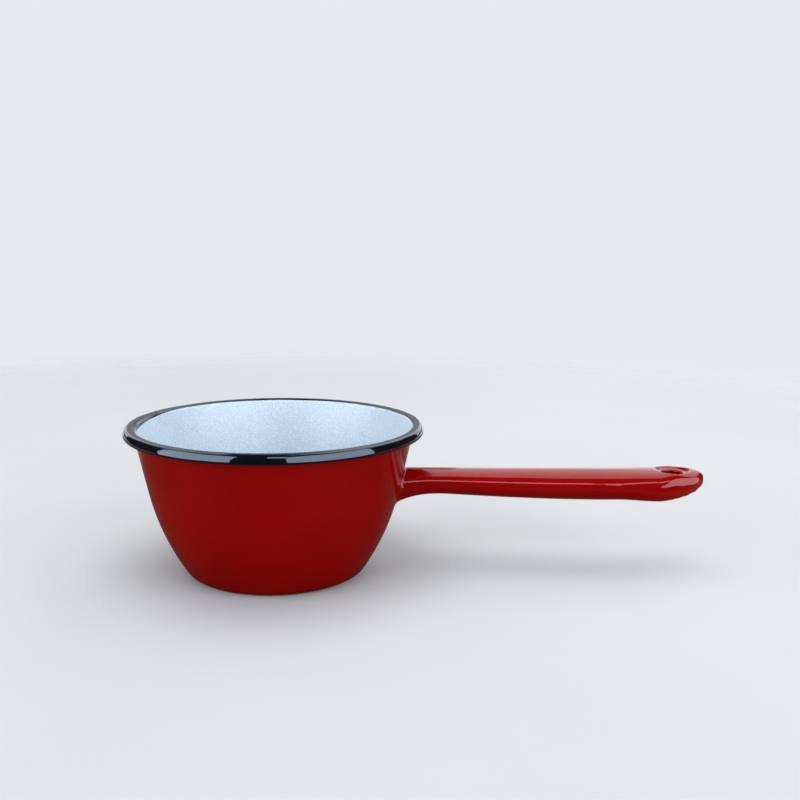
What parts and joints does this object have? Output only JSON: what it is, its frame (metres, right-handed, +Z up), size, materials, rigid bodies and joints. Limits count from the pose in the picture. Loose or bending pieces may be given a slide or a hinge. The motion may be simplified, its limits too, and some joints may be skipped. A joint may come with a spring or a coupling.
{
  "type": "enamelled saucepan",
  "caption": "Small enamelled steel saucepan with a sloping red wall, white lining, rolled black rim and a hollow side handle with a hanging hole.",
  "frame": {"origin": "centre of the foot ring, on the surface the pan stands on", "axes": "+Z up along the axis of the bowl; +X along the handle, away from the bowl"},
  "size_m": [0.3126, 0.16, 0.0814],
  "materials": {
    "pressed_steel": "plain sheet steel, hidden under the enamel",
    "weld_steel": "dressed weld, hidden under the enamel",
    "white_enamel": "glossy pale blue-white vitreous enamel with a fine grey-blue fleck",
    "red_enamel": "glossy deep red vitreous enamel",
    "black_enamel": "glossy blue-black vitreous enamel",
    "ground_enamel": "dark ground-coat enamel, a little scuffed"
  },
  "bodies": {
    "root": {"steel_bowl": "pressed_steel", "white_lining": "white_enamel", "red_coat": "red_enamel", "black_rim": "black_enamel", "base_coat": "ground_enamel", "handle_tube": "pressed_steel", "handle_weld": "weld_steel", "handle_coat": "red_enamel"}
  },
  "joints": []
}
